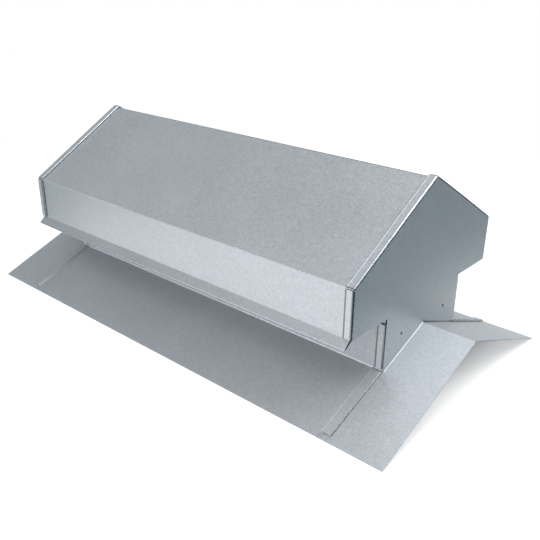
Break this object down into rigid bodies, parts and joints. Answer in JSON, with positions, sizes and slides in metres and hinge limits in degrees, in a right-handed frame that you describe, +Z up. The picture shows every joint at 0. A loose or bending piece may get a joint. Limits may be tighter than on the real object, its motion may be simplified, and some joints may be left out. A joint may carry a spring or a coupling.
{
  "type": "ridge vent",
  "caption": "Gabled sheet-steel ridge vent: a hood with drip lips over an open throat, on a pitched base flange that straddles the ridge of a roof.",
  "frame": {"origin": "centre of the base, on the level surface that the two lower long edges of the base flange stand on", "axes": "+Z up; X along the ridge; -Y is the front in the picture and +X the end that shows"},
  "size_m": [0.758, 0.39, 0.2693],
  "materials": {
    "galvanised_steel": "hot-dip zinc coating with a fine spangle, dull sheen"
  },
  "bodies": {
    "root": {"hood_sheet": "galvanised_steel", "end_plate_right": "galvanised_steel", "end_plate_left": "galvanised_steel", "throat_sheet_front": "galvanised_steel", "throat_sheet_back": "galvanised_steel"}
  },
  "joints": []
}
